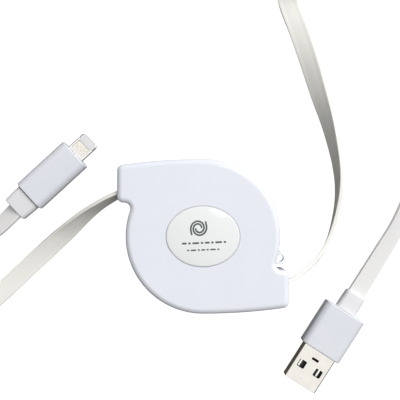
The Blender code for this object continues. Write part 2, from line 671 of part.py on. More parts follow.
def make_cover(name, size, wall, radius, opening, frame):
    """A moulded cover: a rounded block, hollow and open towards the tip."""
    outline = rounded_outline(size.y, size.z, radius)
    shrunk = rounded_outline(size.y - 1.2 * MM, size.z - 1.2 * MM, radius - 0.6 * MM)
    edge = 0.6 * MM
    rings = [section(0.0, shrunk), section(edge, outline)]
    rings += [section(size.x - edge, outline), section(size.x, shrunk)]
    cover = add_object(name, loft(name, rings), (PALE, 0.3), frame)
    hollow = rounded_outline(opening.x, opening.y, radius - wall)
    rings = [section(wall + 2 * MM, hollow), section(size.x + MM, hollow)]
    cut(cover, f"{name}_hollow", loft("hollow", rings))


def make_boot(name, size, frame):
    """A moulded strain relief that narrows towards the ribbon."""
    rings = []
    for share, scale in ((0.0, 0.93), (0.06, 0.97), (0.5, 0.985), (1.0, 1.0)):
        outline = rounded_outline(size.y * scale, size.z * scale, 1.4 * MM)
        rings.append(section(-size.x + share * (size.x - GAP), outline))
    add_object(name, loft(name, rings), (PALE, 0.4), frame)


def make_phone_plug():
    """Reversible blade plug: cover, boot, metal blade, its insert, contacts and board."""
    half = PHONE_COVER.z / 2
    frame = plug_frame("phone_plug_frame", PHONE_PLACE, PHONE_HEADING, half)
    opening = Vector((PHONE_COVER.y - 2 * PHONE_COVER_WALL, PHONE_COVER.z - 2 * PHONE_COVER_WALL))
    make_cover("phone_plug_cover", PHONE_COVER, PHONE_COVER_WALL, PHONE_COVER_ROUND, opening, frame)
    make_boot("phone_plug_boot", PHONE_BOOT, frame)
    front = PHONE_COVER.x
    back = front - BLADE_HELD
    tip = front + BLADE.x
    plate = [(back, BLADE.y / 2), (tip - BLADE_CORNER, BLADE.y / 2)]
    for i in range(1, 5):
        angle = math.pi / 2 * (1 - i / 4)
        across = BLADE.y / 2 - BLADE_CORNER * (1 - math.sin(angle))
        plate.append((tip - BLADE_CORNER * (1 - math.cos(angle)), across))
    plan = plate + [(x, -y) for x, y in plate[::-1]]
    rings = [[(x, y, z) for x, y in plan] for z in (-BLADE.z / 2, BLADE.z / 2)]
    blade = add_object("phone_plug_blade", loft("phone_plug_blade", rings), (STEEL, 0.25, 1.0), frame)
    window_front = tip - BLADE_NOSE
    window_side = BLADE.y / 2 - BLADE_RAIL
    low = (window_front - BLADE_WINDOW, -window_side, -BLADE.z)
    high = (window_front, window_side, BLADE.z)
    cut(blade, "blade_window", box("blade_window", low, high))
    insert_half = BLADE.z / 2 - CONTACT_THICKNESS - GAP
    low = (low[0] + GAP, -window_side + GAP, -insert_half)
    high = (high[0] - GAP, window_side - GAP, insert_half)
    add_object("phone_plug_insert", box("phone_plug_insert", low, high), (CREAM, 0.4), frame)
    pitch = (2 * window_side - 2 * GAP - CONTACT_WIDTH) / (CONTACT_COUNT - 1)
    contact_x = window_front - BLADE_WINDOW / 2
    for face, side in (("top", 1), ("under", -1)):
        for number in range(CONTACT_COUNT):
            y = (number - (CONTACT_COUNT - 1) / 2) * pitch
            name = f"phone_contact_{face}_{number + 1}"
            near = side * (BLADE.z / 2 - CONTACT_THICKNESS)
            far = side * BLADE.z / 2
            corner = (contact_x - CONTACT_LENGTH / 2, y - CONTACT_WIDTH / 2, min(near, far))
            opposite = (contact_x + CONTACT_LENGTH / 2, y + CONTACT_WIDTH / 2, max(near, far))
            add_object(name, box(name, corner, opposite), (GOLD, 0.3, 1.0), frame)
    core_x = Vector((front - BLADE_HELD + 1.2 * MM, front - 0.3 * MM))
    core = rounded_outline(opening.x - 2 * GAP, opening.y - 2 * GAP, 0.6 * MM, 2)
    rings = [section(core_x.x, core), section(core_x.y, core)]
    holder = add_object("phone_plug_core", loft("phone_plug_core", rings), (PALE, 0.4), frame)
    low = (0.0, -BLADE.y / 2 - GAP, -BLADE.z / 2 - GAP)
    high = (front + MM, BLADE.y / 2 + GAP, BLADE.z / 2 + GAP)
    cut(holder, "blade_slot", box("blade_slot", low, high))
    board_x = back - GAP
    low = (board_x - PHONE_BOARD.x, -PHONE_BOARD.y / 2, -PHONE_BOARD.z / 2)
    high = (board_x, PHONE_BOARD.y / 2, PHONE_BOARD.z / 2)
    add_object("phone_plug_board", box("phone_plug_board", low, high), (GREEN, 0.4), frame)
    chip_x = board_x - PHONE_BOARD.x / 2
    chip_z = PHONE_BOARD.z / 2 + 0.1 * MM
    low = (chip_x - PHONE_CHIP.x / 2, -PHONE_CHIP.y / 2, chip_z)
    high = (chip_x + PHONE_CHIP.x / 2, PHONE_CHIP.y / 2, chip_z + PHONE_CHIP.z)
    add_object("phone_plug_chip", box("phone_plug_chip", low, high), (BLACK, 0.4), frame)


def make_charger_plug():
    """Flat-shelled plug: cover, boot, steel shell with windows, tongue, pins and inner mould."""
    frame = plug_frame("charger_plug_frame", CHARGER_PLACE, CHARGER_HEADING, CHARGER_COVER.z / 2)
    wall = CHARGER_COVER_WALL
    opening = Vector((SHELL.y + 2 * GAP, SHELL.z + 2 * GAP))
    make_cover("charger_plug_cover", CHARGER_COVER, wall, wall + SHELL_CORNER, opening, frame)
    make_boot("charger_plug_boot", CHARGER_BOOT, frame)
    front = CHARGER_COVER.x
    tip = front + SHELL.x
    back = front - SHELL_HELD
    outline = rounded_outline(SHELL.y, SHELL.z, SHELL_CORNER, 2)
    shell = loft("charger_plug_shell", [section(back, outline), section(tip, outline)])
    shell = add_object("charger_plug_shell", shell, (STEEL, 0.2, 1.0), frame)
    inner = rounded_outline(SHELL.y - 2 * SHELL_WALL, SHELL.z - 2 * SHELL_WALL, SHELL_CORNER - SHELL_WALL, 2)
    hollow = loft("shell_hollow", [section(back - MM, inner), section(tip + MM, inner)])
    cut(shell, "shell_hollow", hollow)
    for number, side in enumerate((1, -1), 1):
        middle = Vector((tip - SHELL_WINDOW_BACK, side * SHELL_WINDOW_SIDE))
        low = (*(middle - SHELL_WINDOW / 2), -SHELL.z)
        high = (*(middle + SHELL_WINDOW / 2), SHELL.z)
        cut(shell, f"shell_window_{number}", box("shell_window", low, high))
    middle = Vector((tip - SHELL_SLOT_BACK, 0.0))
    low = (*(middle - SHELL_SLOT / 2), 0.0)
    high = (*(middle + SHELL_SLOT / 2), SHELL.z)
    cut(shell, "shell_slot", box("shell_slot", low, high))
    inside = SHELL.y / 2 - SHELL_WALL - GAP
    floor = -SHELL.z / 2 + SHELL_WALL + GAP
    low = (back + 2 * MM, -inside, floor)
    high = (tip - GAP, inside, floor + TONGUE_THICKNESS)
    add_object("charger_plug_tongue", box("charger_plug_tongue", low, high), (BLACK, 0.4), frame)
    pin_low = floor + TONGUE_THICKNESS + 0.1 * MM
    for number, y in enumerate(PIN_PLACES, 1):
        name = f"charger_contact_{number}"
        corner = (tip - MM - PIN_LENGTH, y - PIN_WIDTH / 2, pin_low)
        opposite = (tip - MM, y + PIN_WIDTH / 2, pin_low + PIN_THICKNESS)
        add_object(name, box(name, corner, opposite), (GOLD, 0.3, 1.0), frame)
    mould_x = Vector((wall + 2 * MM + GAP, back - GAP))
    mould = rounded_outline(opening.x - 2 * GAP, opening.y - 2 * GAP, 0.5 * MM, 2)
    rings = [section(mould_x.x, mould), section(mould_x.y, mould)]
    add_object("charger_plug_mould", loft("charger_plug_mould", rings), (CREAM, 0.5), frame)


def clear_scene():
    for old in list(bpy.data.objects):
        bpy.data.objects.remove(old)


def main():
    clear_scene()
    spool_axis = add_empty("spool_axis", (0.0, 0.0, 0.0))
    make_lower_case()
    make_upper_case()
    make_badge()
    make_case_screws()
    make_spool(spool_axis)
    make_spool_cap(spool_axis)
    make_main_spring()
    make_stop_ball()
    make_wound_cable(spool_axis)
    make_free_ribbon("phone_cord", PHONE_ROUTE)
    make_free_ribbon("charger_cord", CHARGER_ROUTE)
    make_phone_plug()
    make_charger_plug()


main()
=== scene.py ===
import math
import bpy
import numpy as np
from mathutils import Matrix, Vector


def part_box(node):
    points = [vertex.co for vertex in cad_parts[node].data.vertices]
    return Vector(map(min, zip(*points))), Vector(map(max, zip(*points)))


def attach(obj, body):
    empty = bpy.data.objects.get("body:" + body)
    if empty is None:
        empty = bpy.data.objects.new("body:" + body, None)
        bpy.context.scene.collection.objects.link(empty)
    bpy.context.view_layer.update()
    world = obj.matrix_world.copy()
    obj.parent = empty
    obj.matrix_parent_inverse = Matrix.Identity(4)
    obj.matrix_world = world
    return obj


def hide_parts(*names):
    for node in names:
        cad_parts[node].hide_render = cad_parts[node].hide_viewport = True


# Two-way retractable charging cable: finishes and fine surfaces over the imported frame.
# Sizes in the dictionaries are millimetres. toMesh() turns them to metres.
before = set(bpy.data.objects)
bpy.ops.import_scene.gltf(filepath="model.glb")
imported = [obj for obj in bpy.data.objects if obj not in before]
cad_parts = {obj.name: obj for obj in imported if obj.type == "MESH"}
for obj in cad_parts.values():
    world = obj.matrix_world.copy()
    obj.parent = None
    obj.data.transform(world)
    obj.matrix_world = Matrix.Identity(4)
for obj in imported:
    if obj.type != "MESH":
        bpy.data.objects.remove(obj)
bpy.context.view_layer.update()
mm = 0.001
scene = bpy.context.scene
scene.view_settings.view_transform = "Standard"
scene.view_settings.look = "None"

view = {"middle": (-0.98, 11.96), "height": 250.0, "lens": 64.9}
camera = bpy.data.objects.new("camera", bpy.data.cameras.new("camera"))
camera.data.lens = view["lens"]
camera.data.clip_start = 0.01
camera.location = (view["middle"][0] * mm, view["middle"][1] * mm, view["height"] * mm)
scene.collection.objects.link(camera)
scene.camera = camera


# sRGB hex to the linear colour that shaders take: a straight toe, then a power of 2.4.
def linear(hexColour):
    parts = [int(hexColour[i:i + 2], 16) / 255 for i in (1, 3, 5)]
    return tuple(c / 12.92 if c <= 0.04045 else ((c + 0.055) / 1.055) ** 2.4 for c in parts)


# Adds a node, sets its properties, socket values or colour stops, and links sockets or nodes into it.
def addNode(tree, kind, settings=None, links=None):
    node = tree.nodes.new(kind)
    for key, value in (settings or {}).items():
        if key == "stops":
            for element, (at, tone) in zip(node.color_ramp.elements, value):
                element.position = at
                element.color = (*tone, 1) if isinstance(tone, tuple) else (tone, tone, tone, 1)
        elif isinstance(key, str) and hasattr(node, key):
            setattr(node, key, value)
        else:
            node.inputs[key].default_value = value
    for key, source in (links or {}).items():
        tree.links.new(source.outputs[0] if hasattr(source, "outputs") else source, node.inputs[key])
    return node


stageLook = {"emission": 1.0, "albedo": 0.3, "size": 3.0}


# A plain white card. It glows a little, so the ground stays white under soft shadows.
def makeFloor():
    half = stageLook["size"] / 2
    mesh = bpy.data.meshes.new("floor")
    corners = [(-half, -half, 0), (half, -half, 0), (half, half, 0), (-half, half, 0)]
    mesh.from_pydata(corners, [], [(0, 1, 2, 3)])
    floor = bpy.data.objects.new("floor", mesh)
    floor.location.z = -0.05 * mm
    scene.collection.objects.link(floor)
    look = bpy.data.materials.new("whiteCard")
    look.use_nodes = True
    shader = look.node_tree.nodes["Principled BSDF"]
    albedo = stageLook["albedo"]
    shader.inputs["Base Color"].default_value = (albedo, albedo, albedo, 1)
    shader.inputs["Roughness"].default_value = 0.9
    shader.inputs["Specular IOR Level"].default_value = 0.0
    shader.inputs["Emission Color"].default_value = (1, 1, 1, 1)
    shader.inputs["Emission Strength"].default_value = stageLook["emission"]
    mesh.materials.append(look)
    floor.visible_diffuse = False
    floor.visible_glossy = False


lights = {
    "key": {"at": (0.43, 0.44, 0.62), "size": (0.34, 0.30), "power": 2.4, "colour": "#FFFDF9"},
    "glint": {"at": (0.105, 0.165, 0.9), "size": (0.10, 0.05), "power": 0.35, "colour": "#FFFFFF"},
}
dome = {"lean": (0.27, 0.27, 1.0), "level": 1.0, "from": 0.45, "to": 0.86, "tint": "#FCFCFF"}
glow = {
    "towards": (0.74, 0.67, 0.05), "level": 0.85, "from": 0.15, "to": 0.95, "base": 0.075, "shade": "#FFF6E7",
}


# A key from the far right, a soft dome leaning the same way, and a glow on that side's horizon.
def makeLights():
    for name, row in lights.items():
        lamp = bpy.data.lights.new(name, "AREA")
        lamp.shape = "RECTANGLE"
        lamp.size, lamp.size_y = row["size"]
        lamp.energy = row["power"]
        lamp.color = linear(row["colour"])
        holder = bpy.data.objects.new(name, lamp)
        holder.location = row["at"]
        holder.rotation_euler = Vector(row["at"]).to_track_quat("Z", "Y").to_euler()  # faces the object
        scene.collection.objects.link(holder)
    world = bpy.data.worlds.new("studio")
    world.use_nodes = True
    scene.world = world
    tree = world.node_tree
    tree.nodes.clear()
    where = addNode(tree, "ShaderNodeTexCoord").outputs["Generated"]
    parts = []
    for row, direction in ((dome, dome["lean"]), (glow, glow["towards"])):
        aim = Vector(direction).normalized()
        along = addNode(tree, "ShaderNodeVectorMath", {"operation": "DOT_PRODUCT", 1: aim}, {0: where})
        span = {"From Min": row["from"], "From Max": row["to"], "To Max": row["level"]}
        fade = addNode(tree, "ShaderNodeMapRange", {"interpolation_type": "SMOOTHSTEP", **span},
                       {"Value": along.outputs["Value"]})
        parts.append(fade.outputs[0])
    both = addNode(tree, "ShaderNodeMath", {"operation": "ADD"}, {0: parts[0], 1: parts[1]}).outputs[0]
    sky = addNode(tree, "ShaderNodeBackground", {"Color": (*linear(dome["tint"]), 1)}, {"Strength": both})
    shade = addNode(tree, "ShaderNodeBackground",
                    {"Color": (*linear(glow["shade"]), 1), "Strength": glow["base"]})
    total = addNode(tree, "ShaderNodeAddShader", {}, {0: sky.outputs[0], 1: shade.outputs[0]})
    addNode(tree, "ShaderNodeOutputWorld", {}, {"Surface": total.outputs[0]})


makeFloor()
makeLights()
print("stage: camera, floor and lights")


# One mesh object from points in mm and a list of face arrays, shaded smooth.
def toMesh(name, points, faces, smoothAngle=40.0, uv=None):
    mesh = bpy.data.meshes.new(name)
    mesh.from_pydata((np.asarray(points) * mm).tolist(), [], [list(face) for group in faces for face in group])
    mesh.update()
    mesh.shade_smooth()
    mesh.set_sharp_from_angle(angle=math.radians(smoothAngle))
    if uv is not None:
        layer = mesh.uv_layers.new(name="along")
        index = np.zeros(len(mesh.loops), int)
        mesh.loops.foreach_get("vertex_index", index)
        layer.data.foreach_set("uv", np.asarray(uv)[index].ravel())
    piece = bpy.data.objects.new(name, mesh)
    scene.collection.objects.link(piece)
    return piece


# Quads of a grid whose columns wrap round: row by row, joined to the next row.
def gridFaces(rows, columns, closeRows=False):
    steps = rows if closeRows else rows - 1
    i, j = np.meshgrid(np.arange(steps), np.arange(columns), indexing="ij")
    i, j = i.ravel(), j.ravel()
    nextRow, nextColumn = (i + 1) % rows, (j + 1) % columns
    quads = [i * columns + j, i * columns + nextColumn, nextRow * columns + nextColumn, nextRow * columns + j]
    return np.stack(quads, axis=1)


# A skin over rings of equal count. Unless the rings close on themselves, each end gets one flat face.
def loft(name, rings, closed=False, smoothAngle=40.0, uv=None):
    rings = np.asarray(rings, float)
    rows, columns = rings.shape[:2]
    points = rings.reshape(-1, 3)
    faces = [gridFaces(rows, columns, closed)]
    if not closed:
        faces.append(np.arange(columns)[None, ::-1])
        faces.append(np.arange(columns)[None, :] + (rows - 1) * columns)
    piece = toMesh(name, points, faces, smoothAngle, uv)
    faceOut(piece)
    return piece


# Lets large flat faces rule the shading round them, so that flats look flat.
def evenNormals(*pieces):
    for piece in pieces:
        change = piece.modifiers.new("evenNormals", "WEIGHTED_NORMAL")
        change.keep_sharp = True
        change.weight = 90
        made = bpy.data.meshes.new_from_object(piece.evaluated_get(bpy.context.evaluated_depsgraph_get()))
        made.name = piece.name
        piece.modifiers.clear()
        piece.data = made


# Turns a closed mesh the right way out: the sum of its signed tetrahedra has to be positive.
def faceOut(piece):
    mesh = piece.data
    mesh.calc_loop_triangles()
    corners = np.zeros(len(mesh.loop_triangles) * 3, int)
    mesh.loop_triangles.foreach_get("vertices", corners)
    places = np.zeros(len(mesh.vertices) * 3)
    mesh.vertices.foreach_get("co", places)
    a, b, c = places.reshape(-1, 3)[corners].reshape(-1, 3, 3).transpose(1, 0, 2)
    if np.einsum("ij,ij->i", a, np.cross(b, c)).sum() < 0:
        mesh.flip_normals()


# Points on an arc with their outward sides. A negative radius marks a hollow arc.
def arcPoints(centre, radius, start, end, steps):
    angle = start + (end - start) * np.arange(steps) / steps
    side = np.stack([np.cos(angle), np.sin(angle)], axis=1)
    return np.asarray(centre) + abs(radius) * side, side if radius > 0 else -side


caseSize = {
    "radius": 25.5, "reach": 28.3, "outer": 23.4, "inner": 11.1, "corner": 2.0, "fillet": 2.0,
    "edge": 1.9, "edgeDrop": 1.4, "wall": 1.5, "floor": 1.3, "roof": 1.1,
    "gap": 0.3, "lip": 0.55, "lipHeight": 0.75,
    "seam": ((0.0, 0.25), (0.03, 0.1), (0.12, 0.0)),  # parting line's small round: inset, distance to the rim
}
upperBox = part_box("upper_case")
levels = {"top": upperBox[1].z / mm, "upperRim": upperBox[0].z / mm}
levels["roof"] = levels["top"] - caseSize["roof"]
levels["lowerRim"] = levels["top"] / 2 - caseSize["gap"] / 2


# The case from above: a body arc, a long tangent sweep to each spout, and a filleted notch.
# Half of it is worked out from tangent arcs, and the other half is that one turned round.
def caseOutline():
    s = caseSize
    drop = s["radius"] - s["outer"]
    sweep = (s["reach"] ** 2 + drop ** 2) / (2 * drop)
    sweepY = sweep - s["radius"]
    cornerX = s["reach"] - s["corner"]
    cornerY = sweepY - math.sqrt((sweep - s["corner"]) ** 2 - cornerX ** 2)
    meet = math.atan2(cornerY - sweepY, cornerX)
    filletY = s["fillet"] - s["inner"]
    filletX = math.sqrt((s["radius"] + s["fillet"]) ** 2 - filletY ** 2)
    body = math.atan2(filletY, filletX)
    quarter = math.pi / 2
    runs = [
        arcPoints((0, sweepY), sweep, -quarter, meet, 26),
        arcPoints((cornerX, cornerY), s["corner"], meet, 0, 12),
        straight((s["reach"], cornerY), (s["reach"], -s["inner"] - s["corner"]), (1, 0), 8),
        arcPoints((cornerX, -s["inner"] - s["corner"]), s["corner"], 0, quarter, 12),
        straight((cornerX, -s["inner"]), (filletX, -s["inner"]), (0, 1), 2),
        arcPoints((filletX, filletY), -s["fillet"], 3 * quarter, body + math.pi, 12),
        arcPoints((0, 0), s["radius"], body, quarter, 72),
    ]
    points = np.vstack([run[0] for run in runs])
    sides = np.vstack([run[1] for run in runs])
    return np.vstack([points, -points]), np.vstack([sides, -sides])


# Points along a straight run, all with one outward side.
def straight(start, end, side, steps):
    share = np.arange(steps)[:, None] / steps
    return np.asarray(start) + (np.asarray(end) - start) * share, np.tile(np.asarray(side, float), (steps, 1))


outlinePoints, outlineSides = caseOutline()


# The outline moved inwards by inset, at one height.
def caseRing(inset, height):
    flat = outlinePoints - outlineSides * inset
    return np.column_stack([flat, np.full(len(flat), height)])


# A level oval of points round the axis.
def ovalRing(long, short, height, count=144):
    angle = 2 * math.pi * np.arange(count) / count
    return np.column_stack([long * np.cos(angle), short * np.sin(angle), np.full(count, height)])


# Rings round an edge that is a quarter of an oval, wider than it is tall, from the flat out to the wall.
def edgeRings(level, direction, edge, steps=11):
    drop = caseSize["edgeDrop"]
    turn = np.linspace(0, math.pi / 2, steps)
    return [caseRing(edge * (1 - math.sin(a)), level + direction * drop * (1 - math.cos(a))) for a in turn]


ribbon = {"width": 6.4, "thick": 1.34, "round": 0.26, "step": 0.7, "groove": 0.05}
# Given routes, as the frame has them: x, y, z in mm and the lean in degrees.
phoneRoute = [
    (-28.0, 14.0, 8.35, 10), (-31.2, 12.4, 7.9, 17), (-35.0, 10.2, 6.9, 20), (-39.6, 7.0, 5.4, 32),
    (-44.6, 2.7, 3.8, 47), (-49.6, -1.6, 2.5, 64), (-60.4, -11.4, 1.1, 84), (-71.5, -21.7, 0.95, 90),
    (-78.8, -28.1, 2.05, 66), (-86.4, -34.0, 3.25, 34), (-98.6, -41.4, 3.4, 8), (-112.8, -45.6, 3.35, 0),
    (-127.8, -43.0, 3.3, 0), (-139.6, -33.4, 3.3, 0), (-146.0, -19.4, 3.3, 0), (-146.2, -3.8, 3.3, 0),
    (-139.8, 9.8, 3.3, 0), (-127.6, 17.2, 3.3, 0), (-113.6, 16.4, 3.3, 0), (-102.6, 10.0, 3.35, 6),
    (-94.0, 2.7, 3.35, 22), (-88.4, -0.8, 3.3, 34), (-82.4, -2.1, 3.2, 46), (-76.0, -1.2, 3.1, 56),
    (-70.0, 2.7, 3.1, 61), (-64.2, 8.2, 3.2, 63),
]
chargerRoute = [
    (28.0, -15.5, 8.35, -6), (30.7, -14.4, 8.0, -8), (33.4, -12.7, 7.3, -10), (36.2, -10.5, 6.5, -11),
    (38.9, -7.9, 5.5, -12), (41.4, -4.6, 4.6, -11), (43.4, -0.3, 3.9, -8), (45.0, 5.1, 3.6, -4),
    (46.3, 11.9, 3.5, 1), (46.6, 18.5, 3.5, 8), (46.0, 24.6, 3.5, 15), (44.8, 30.8, 3.45, 22),
    (42.8, 39.1, 3.2, 34), (40.2, 47.4, 2.8, 49), (36.4, 59.9, 2.2, 66), (32.9, 70.4, 1.5, 79),
    (29.8, 78.6, 1.1, 86), (28.2, 85.2, 2.1, 64), (29.0, 92.4, 3.35, 28), (34.6, 99.4, 3.4, 6),
    (44.0, 102.2, 3.35, 0), (54.4, 99.8, 3.3, 0), (63.6, 92.4, 3.3, 0), (70.4, 80.6, 3.3, 0),
    (74.4, 65.6, 3.3, 2), (75.9, 49.6, 3.35, 8), (75.2, 34.0, 3.4, 25), (72.4, 19.0, 3.4, 42),
    (67.2, 4.6, 3.5, 58), (60.3, -7.1, 3.8, 68), (52.4, -19.7, 4.0, 74),
]


# Catmull-Rom curve through the route, read off at even steps: columns x, y, z, lean.
def smoothRoute(route, step):
    rows = np.array(route, float)
    padded = np.vstack([2 * rows[0] - rows[1], rows, 2 * rows[-1] - rows[-2]])
    t = (np.arange(24) / 24)[None, :, None]
    a, b, c, d = (padded[k:len(rows) - 1 + k][:, None, :] for k in range(4))
    dense = (2 * b + (c - a) * t + (2 * a - 5 * b + 4 * c - d) * t ** 2 + (3 * b - a - 3 * c + d) * t ** 3) / 2
    dense = np.vstack([dense.reshape(-1, 4), rows[-1]])
    along = np.concatenate([[0], np.cumsum(np.linalg.norm(np.diff(dense[:, :3], axis=0), axis=1))])
    places = np.linspace(0, along[-1], int(round(along[-1] / step)) + 1)
    even = np.column_stack([np.interp(places, along, dense[:, k]) for k in range(4)])
    kernel = np.hanning(13) / np.hanning(13).sum()  # rounds off the corners of the lean and the heading
    padded = np.pad(even, ((6, 6), (0, 0)), mode="reflect", reflect_type="odd")
    return np.column_stack([np.convolve(padded[:, k], kernel, "valid") for k in range(4)]), places


# Cross-section (across, through): flat faces, square edges with small rounds, two shallow grooves.
def ribbonSection():
    half, thick, small = ribbon["width"] / 2, ribbon["thick"] / 2, ribbon["round"]
    across = np.linspace(-(half - small), half - small, 15)
    dip = ribbon["groove"] * np.exp(-((np.abs(across) - half * 0.5) / 0.25) ** 2)
    turn = np.linspace(0, math.pi / 2, 6)[1:-1]
    corner = np.column_stack([half - small + small * np.sin(turn), thick - small + small * np.cos(turn)])
    edge = np.column_stack([np.full(5, half), np.linspace(thick - small, small - thick, 5)])
    top = np.column_stack([across, thick - dip])
    right = np.vstack([top, corner, edge, corner[::-1] * (1, -1)])
    return np.vstack([right, -right])[::-1]


# The section carried along the route. Its width stands up at lean 0 and turns about the route.
def makeRibbon(name, route, extend):
    rows, along = smoothRoute(route, ribbon["step"])
    centre = rows[:, :3].copy()
    heading = np.gradient(centre, axis=0)
    heading /= np.linalg.norm(heading, axis=1)[:, None]
    centre[-1] += heading[-1] * extend
    centre[0] -= heading[0] * extend * 0.3
    up = np.array([0, 0, 1.0]) - heading * heading[:, 2:3]
    up /= np.linalg.norm(up, axis=1)[:, None]
    beside = np.cross(heading, up)
    lean = np.radians(rows[:, 3])[:, None]
    width = up * np.cos(lean) + beside * np.sin(lean)
    through = np.cross(heading, width)
    section = ribbonSection()
    rings = centre[:, None, :] + section[None, :, :1] * width[:, None, :]
    rings = rings + section[None, :, 1:] * through[:, None, :]
    around = np.tile(np.linspace(0, 1, len(section)), len(rows))
    uv = np.column_stack([around, np.repeat(along, len(section)) / 10])
    piece = loft(name, rings, smoothAngle=35, uv=uv)
    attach(piece, "case")
    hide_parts(name.replace("Ribbon", "_cord"))
    length = np.linalg.norm(np.diff(centre, axis=0), axis=1).sum() * mm
    return piece, centre * mm, float(length)


phoneRibbon, phonePath, phoneLength = makeRibbon("phoneRibbon", phoneRoute, 1.0)
chargerRibbon, chargerPath, chargerLength = makeRibbon("chargerRibbon", chargerRoute, 1.0)
print(f"ribbons: {phoneLength:.3f} m and {chargerLength:.3f} m")


eyeSize = {"hole": 1.15, "wall": 1.0, "off": 1.7, "angle": -16.5, "tall": 3.6, "edge": 0.35}
screws = {"x": 24.0, "y": 19.5, "seat": 2.0, "boss": 2.8, "hole": 1.15, "deep": 1.8, "bevel": 0.25}
badgeSize = {"long": 12.1, "short": 9.95, "gap": 0.3, "recess": 0.6, "rim": 0.45, "dome": 0.55, "edge": 0.22,
             "fit": 0.14}
exits = {"deep": 3.0, "past": 1.5, "middle": 14.4, "width": 4.4, "low": 4.9, "high": 11.7, "round": 0.5}


# Takes a solid away from a piece for good, so that its mesh is final.
def cutWith(piece, tool):
    change = piece.modifiers.new("cut", "BOOLEAN")
    change.object = tool
    change.solver = "EXACT"
    bake(piece)
    bpy.data.objects.remove(tool)


# Replaces a piece's mesh by what its modifiers make of it.
def bake(piece):
    made = bpy.data.meshes.new_from_object(piece.evaluated_get(bpy.context.evaluated_depsgraph_get()))
    made.name = piece.name
    piece.modifiers.clear()
    piece.data = made
    made.shade_smooth()
    made.set_sharp_from_angle(angle=math.radians(40))


# A rounded rectangle as rows of (across, up), anticlockwise.
def roundedOutline(width, height, radius, steps=8):
    rows = []
    for corner, (side, top) in enumerate(((1, 1), (-1, 1), (-1, -1), (1, -1))):
        turn = math.pi / 2 * (corner + np.arange(steps + 1) / steps)
        across = side * (width / 2 - radius) + radius * np.cos(turn)
        rows.append(np.column_stack([across, top * (height / 2 - radius) + radius * np.sin(turn)]))
    return np.vstack(rows)


# A block with rounded corners that opens one spout's face for its ribbon.
def slotTool(side):
    outline = roundedOutline(exits["width"], exits["high"] - exits["low"], exits["round"])
    outline = outline + (-side * exits["middle"], (exits["low"] + exits["high"]) / 2)
    ends = (side * (caseSize["reach"] - exits["deep"]), side * (caseSize["reach"] + exits["past"]))
    return loft("slotTool", [np.column_stack([np.full(len(outline), x), outline]) for x in ends])


# Middle of the eye, outside the round wall beside the right notch.
def eyePoint():
    reach = caseSize["radius"] + eyeSize["off"]
    angle = math.radians(eyeSize["angle"])
    return np.array([reach * math.cos(angle), reach * math.sin(angle)])


# A level circle of points: cosine and sine of even angles.
def roundRing(centre, radius, height, count=64):
    angle = 2 * math.pi * np.arange(count) / count
    return np.column_stack([centre[0] + radius * np.cos(angle), centre[1] + radius * np.sin(angle),
                            np.full(count, height)])


# Lid: rounded edge, upright wall, open inside, with an oval recess for the badge.
def makeUpperShell():
    s = caseSize
    rim = levels["upperRim"]
    ledge = rim + s["lipHeight"] + s["gap"]
    inset = s["wall"] - s["lip"] - s["gap"]
    rings = edgeRings(levels["top"], -1, s["edge"])
    rings += [caseRing(across, rim + up) for across, up in s["seam"]]
    rings += [caseRing(inset, rim), caseRing(inset, ledge)]
    rings += [caseRing(s["wall"], ledge), caseRing(s["wall"], levels["roof"])]
    piece = loft("upperShell", rings, smoothAngle=35)
    for side in (1, -1):
        cutWith(piece, slotTool(side))
    floor = levels["top"] - badgeSize["recess"]
    long, short = badgeSize["long"] + badgeSize["fit"], badgeSize["short"] + badgeSize["fit"]
    flare = ((0, 0), (0.52, 0), (0.6, 0.1), (0.9, 0.4))  # height above the floor, and how much wider
    tool = [ovalRing(long + grow, short + grow, floor + lift) for lift, grow in flare]
    cutWith(piece, loft("recessTool", tool))
    return piece


# Tray: rounded edge, upright wall, locating lip, floor, and a bevelled seat for each screw head.
def makeLowerShell():
    s = caseSize
    rim = levels["lowerRim"]
    lip, inset = rim + s["lipHeight"], s["wall"] - s["lip"]
    rings = edgeRings(0.0, 1, s["edge"])
    rings += [caseRing(across, rim - down) for across, down in s["seam"]]
    rings += [caseRing(inset, rim), caseRing(inset, lip)]
    rings += [caseRing(s["wall"], lip), caseRing(s["wall"], s["floor"])]
    piece = loft("lowerShell", rings, smoothAngle=35)
    for side in (1, -1):
        cutWith(piece, slotTool(side))
        spot = (side * screws["x"], -side * screws["y"])
        seat, wide = screws["seat"], screws["seat"] + screws["bevel"]
        edge = [(wide, -0.2), (wide, 0.0), (seat, 0.22), (seat, 1.5)]
        cutWith(piece, loft("seatTool", [roundRing(spot, radius, height, 48) for radius, height in edge]))
    return piece


# Two turned cups inside the tray: each holds a screw's head and guides its shank.
def makeScrewBosses():
    s = screws
    profile = [(s["hole"], s["deep"]), (s["seat"], s["deep"]), (s["seat"], 0.9), (s["seat"] + 0.02, 0.9)]
    top = levels["lowerRim"] - caseSize["gap"]
    profile += [(s["boss"], 1.25), (s["boss"], top), (s["hole"], top)]
    made = []
    for number, side in enumerate((1, -1), 1):
        rings = [roundRing((side * s["x"], -side * s["y"]), radius, height, 48) for radius, height in profile]
        made.append(loft(f"screwBoss{number}", rings, closed=True, smoothAngle=30))
    return made


